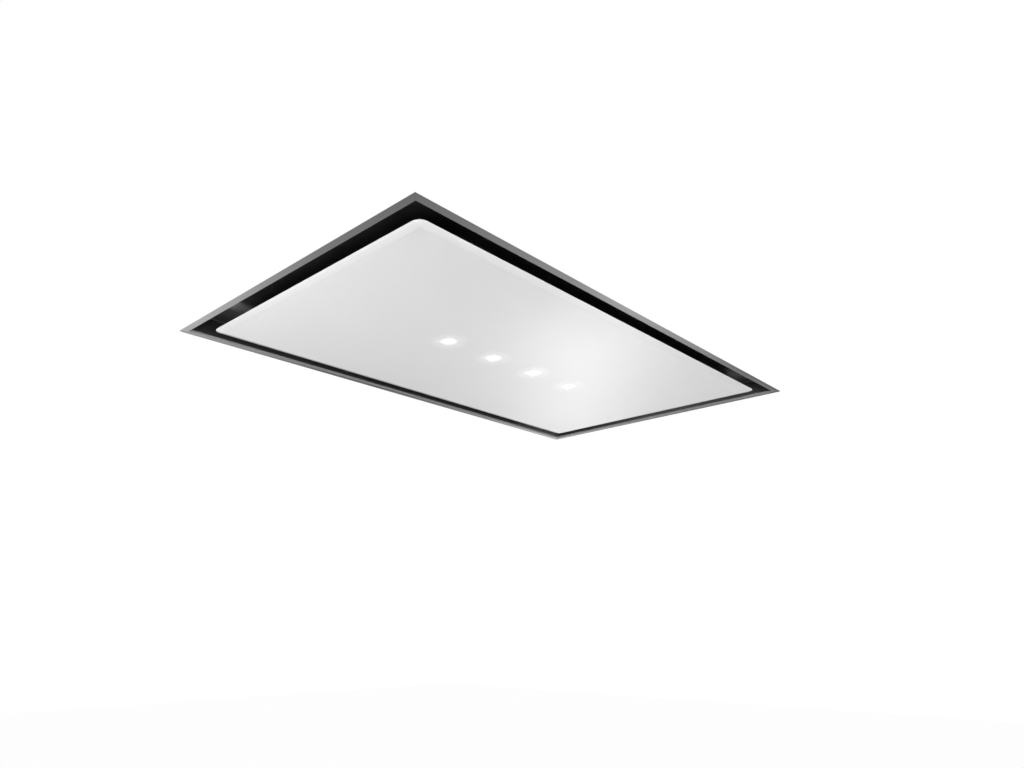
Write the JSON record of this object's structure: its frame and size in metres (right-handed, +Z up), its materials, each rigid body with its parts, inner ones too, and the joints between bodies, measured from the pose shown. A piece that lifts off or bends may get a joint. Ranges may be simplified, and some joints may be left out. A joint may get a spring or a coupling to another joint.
{
  "type": "ceiling range hood",
  "caption": "Flush ceiling range hood: steel trim frame, suction slot round a hinged white glass panel with square lamps, grease filters, blower and duct collar above.",
  "frame": {"origin": "centre of the ceiling cut-out, on the ceiling's face that the trim's flange bears against", "axes": "+Z up into the ceiling, +X along the long side, -Y the side whose edge of the glass panel opens"},
  "size_m": [0.9, 0.5, 0.2992],
  "materials": {
    "steel_brushed": "brushed",
    "black_paint": "satin powder coat",
    "zinc_sheet": "galvanised sheet",
    "white_glass": "back-painted white glass",
    "white_paint": "white powder coat",
    "lamp_frost": "frosted, lit from behind",
    "cast_aluminium": "cast",
    "filter_aluminium": "satin",
    "board_green": "solder mask",
    "rubber_black": "moulded",
    "screw_steel": "zinc plated",
    "hinge_steel": "zinc plated",
    "black_plastic": "moulded",
    "wheel_plastic": "glass-filled",
    "stator_copper": "laminated with copper windings",
    "driver_white": "moulded"
  },
  "bodies": {
    "frame": {"trim_frame": "steel_brushed", "channel_liner": "black_paint", "filter_plate": "black_paint", "housing_shell": "zinc_sheet", "hanger_brackets": "zinc_sheet", "magnet_catches": "black_plastic", "hinge_pins": "screw_steel", "hinge_bracket_left": "black_paint", "hinge_bracket_right": "black_paint", "filter_frame_left": "filter_aluminium", "filter_frame_right": "filter_aluminium", "filter_mesh_left": "filter_aluminium", "filter_mesh_right": "filter_aluminium", "latch_spring_left": "screw_steel", "latch_spring_right": "screw_steel", "inlet_ring": "zinc_sheet", "volute_lower": "zinc_sheet", "volute_upper": "zinc_sheet", "volute_mounts": "rubber_black", "motor_housing": "cast_aluminium", "motor_end_cap": "cast_aluminium", "motor_bearings": "screw_steel", "motor_stator": "stator_copper", "motor_grommets": "rubber_black", "volute_wrapper": "zinc_sheet", "blower_box": "zinc_sheet", "blower_outlet_wall": "zinc_sheet", "blower_cover": "zinc_sheet", "outlet_collar": "black_plastic", "collar_seal": "rubber_black", "flap_pin": "screw_steel", "flap_spring": "screw_steel", "electronics_box": "black_plastic", "electronics_cover": "zinc_sheet", "control_board": "board_green", "lamp_driver": "driver_white", "terminal_block": "driver_white", "cable_gland": "black_plastic", "mouth_screws": "screw_steel", "roof_screws": "screw_steel"},
    "panel": {"glass_panel": "white_glass", "panel_carrier": "white_paint", "lamp_boards": "board_green", "panel_buffers": "rubber_black", "panel_screws": "screw_steel", "strike_plates": "zinc_sheet", "hinge_arm_left": "hinge_steel", "hinge_arm_right": "hinge_steel", "lamp_lenses": "lamp_frost", "lamp_housings": "cast_aluminium"},
    "wheel": {"blower_wheel": "wheel_plastic", "wheel_blades": "wheel_plastic", "wheel_ring": "wheel_plastic", "motor_shaft": "screw_steel"},
    "front_flap": {"check_flap_front": "black_plastic"},
    "back_flap": {"check_flap_back": "black_plastic"},
    "left_latch": {"filter_latch_left": "black_plastic"},
    "right_latch": {"filter_latch_right": "black_plastic"}
  },
  "joints": [
    {"name": "panel_swing", "type": "hinge", "parent": "frame", "child": "panel", "pos_m": [0, 0.206, 0.014], "axis": [1, 0, 0], "range_deg": [0, 90]},
    {"name": "wheel_spin", "type": "hinge", "parent": "frame", "child": "wheel", "pos_m": [-0.02, 0.03, 0.2], "axis": [0, 0, 1], "continuous": true},
    {"name": "front_flap_swing", "type": "hinge", "parent": "frame", "child": "front_flap", "pos_m": [0.229, -0.1193, 0.209], "axis": [0, 0, 1], "range_deg": [0, 75], "stiffness_Nm_per_rad": 0.02, "springref_deg": -17.19},
    {"name": "back_flap_swing", "type": "hinge", "parent": "frame", "child": "back_flap", "pos_m": [0.229, -0.1193, 0.209], "axis": [0, 0, -1], "range_deg": [0, 75], "stiffness_Nm_per_rad": 0.02, "springref_deg": -17.19},
    {"name": "left_latch_slide", "type": "slide", "parent": "frame", "child": "left_latch", "axis": [0, 1, 0], "range_m": [0, 0.006], "stiffness_N_per_m": 300, "springref_m": -0.004, "deforming": ["latch_spring_left"]},
    {"name": "right_latch_slide", "type": "slide", "parent": "frame", "child": "right_latch", "axis": [0, 1, 0], "range_m": [0, 0.006], "stiffness_N_per_m": 300, "springref_m": -0.004, "deforming": ["latch_spring_right"]}
  ]
}
